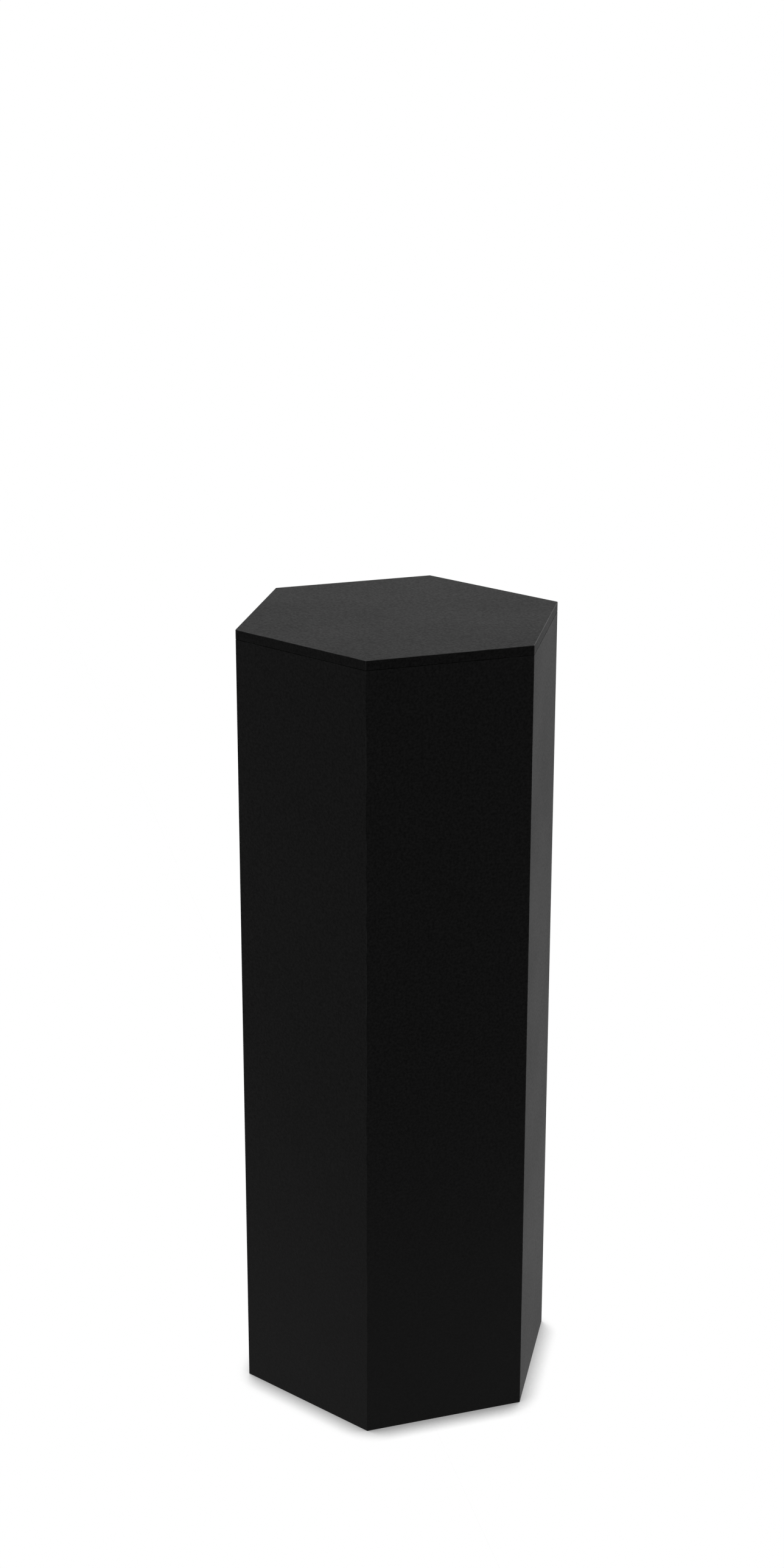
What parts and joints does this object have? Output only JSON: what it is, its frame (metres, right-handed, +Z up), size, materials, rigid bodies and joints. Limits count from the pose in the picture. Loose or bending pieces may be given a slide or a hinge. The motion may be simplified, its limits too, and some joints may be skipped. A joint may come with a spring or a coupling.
{
  "type": "display plinth",
  "caption": "Tall hexagonal display plinth in black lacquered board, with a flush mitred top and levelling feet set up inside its rim.",
  "frame": {"origin": "on the floor, on the plinth's own axis, at the middle of the rim's underside", "axes": "+Z up the plinth; -Y is square to the front side; +X points to the corner between two of the sides"},
  "size_m": [0.4098, 0.355, 1],
  "materials": {
    "black_lacquer": "sprayed satin black lacquer over sealed MDF",
    "raw_fibreboard": "sawn MDF, clear sealed",
    "birch_ply": "sawn birch plywood strip",
    "softwood": "planed pine",
    "zinc_plate": "zinc-plated turned steel",
    "nylon": "moulded black nylon",
    "rubber": "matt black rubber"
  },
  "bodies": {
    "carcass": {"top_board": "black_lacquer", "side_panel_front": "black_lacquer", "side_panel_front_right": "black_lacquer", "side_panel_back_right": "black_lacquer", "side_panel_back": "black_lacquer", "side_panel_back_left": "black_lacquer", "side_panel_front_left": "black_lacquer", "corner_spline_1": "birch_ply", "corner_spline_2": "birch_ply", "corner_spline_3": "birch_ply", "corner_spline_4": "birch_ply", "corner_spline_5": "birch_ply", "corner_spline_6": "birch_ply", "top_batten_1": "softwood", "top_batten_2": "softwood", "top_batten_3": "softwood", "top_batten_4": "softwood", "top_batten_5": "softwood", "top_batten_6": "softwood", "mid_stiffener": "raw_fibreboard", "base_batten_1": "softwood", "base_batten_2": "softwood", "base_batten_3": "softwood", "base_batten_4": "softwood", "base_batten_5": "softwood", "base_batten_6": "softwood", "base_board": "raw_fibreboard", "base_screw_1": "zinc_plate", "base_screw_2": "zinc_plate", "base_screw_3": "zinc_plate", "base_screw_4": "zinc_plate", "base_screw_5": "zinc_plate", "base_screw_6": "zinc_plate", "threaded_insert_1": "zinc_plate", "threaded_insert_2": "zinc_plate", "threaded_insert_3": "zinc_plate", "threaded_insert_4": "zinc_plate", "threaded_insert_5": "zinc_plate", "threaded_insert_6": "zinc_plate"},
    "foot_1_pad": {"foot_pad_1": "nylon", "pad_sole_1": "rubber"},
    "foot_1_stem": {"foot_stem_1": "zinc_plate"},
    "foot_2_pad": {"foot_pad_2": "nylon", "pad_sole_2": "rubber"},
    "foot_2_stem": {"foot_stem_2": "zinc_plate"},
    "foot_3_pad": {"foot_pad_3": "nylon", "pad_sole_3": "rubber"},
    "foot_3_stem": {"foot_stem_3": "zinc_plate"},
    "foot_4_pad": {"foot_pad_4": "nylon", "pad_sole_4": "rubber"},
    "foot_4_stem": {"foot_stem_4": "zinc_plate"},
    "foot_5_pad": {"foot_pad_5": "nylon", "pad_sole_5": "rubber"},
    "foot_5_stem": {"foot_stem_5": "zinc_plate"},
    "foot_6_pad": {"foot_pad_6": "nylon", "pad_sole_6": "rubber"},
    "foot_6_stem": {"foot_stem_6": "zinc_plate"}
  },
  "joints": [
    {"name": "foot_1_lift", "type": "slide", "parent": "carcass", "child": "foot_1_pad", "axis": [0, 0, -1], "range_m": [0, 0.015]},
    {"name": "foot_1_turn", "type": "hinge", "parent": "foot_1_pad", "child": "foot_1_stem", "pos_m": [0.07502, -0.12994, 0.008], "axis": [0, 0, -1], "range_deg": [0, 4320]},
    {"name": "foot_2_lift", "type": "slide", "parent": "carcass", "child": "foot_2_pad", "axis": [0, 0, -1], "range_m": [0, 0.015]},
    {"name": "foot_2_turn", "type": "hinge", "parent": "foot_2_pad", "child": "foot_2_stem", "pos_m": [0.15004, 0, 0.008], "axis": [0, 0, -1], "range_deg": [0, 4320]},
    {"name": "foot_3_lift", "type": "slide", "parent": "carcass", "child": "foot_3_pad", "axis": [0, 0, -1], "range_m": [0, 0.015]},
    {"name": "foot_3_turn", "type": "hinge", "parent": "foot_3_pad", "child": "foot_3_stem", "pos_m": [0.07502, 0.12994, 0.008], "axis": [0, 0, -1], "range_deg": [0, 4320]},
    {"name": "foot_4_lift", "type": "slide", "parent": "carcass", "child": "foot_4_pad", "axis": [0, 0, -1], "range_m": [0, 0.015]},
    {"name": "foot_4_turn", "type": "hinge", "parent": "foot_4_pad", "child": "foot_4_stem", "pos_m": [-0.07502, 0.12994, 0.008], "axis": [0, 0, -1], "range_deg": [0, 4320]},
    {"name": "foot_5_lift", "type": "slide", "parent": "carcass", "child": "foot_5_pad", "axis": [0, 0, -1], "range_m": [0, 0.015]},
    {"name": "foot_5_turn", "type": "hinge", "parent": "foot_5_pad", "child": "foot_5_stem", "pos_m": [-0.15004, 0, 0.008], "axis": [0, 0, -1], "range_deg": [0, 4320]},
    {"name": "foot_6_lift", "type": "slide", "parent": "carcass", "child": "foot_6_pad", "axis": [0, 0, -1], "range_m": [0, 0.015]},
    {"name": "foot_6_turn", "type": "hinge", "parent": "foot_6_pad", "child": "foot_6_stem", "pos_m": [-0.07502, -0.12994, 0.008], "axis": [0, 0, -1], "range_deg": [0, 4320]}
  ],
  "couplings": [
    {"joint": "foot_1_turn", "follows": "foot_1_lift", "rad_per_m": 5026.5},
    {"joint": "foot_2_turn", "follows": "foot_2_lift", "rad_per_m": 5026.5},
    {"joint": "foot_3_turn", "follows": "foot_3_lift", "rad_per_m": 5026.5},
    {"joint": "foot_4_turn", "follows": "foot_4_lift", "rad_per_m": 5026.5},
    {"joint": "foot_5_turn", "follows": "foot_5_lift", "rad_per_m": 5026.5},
    {"joint": "foot_6_turn", "follows": "foot_6_lift", "rad_per_m": 5026.5}
  ]
}
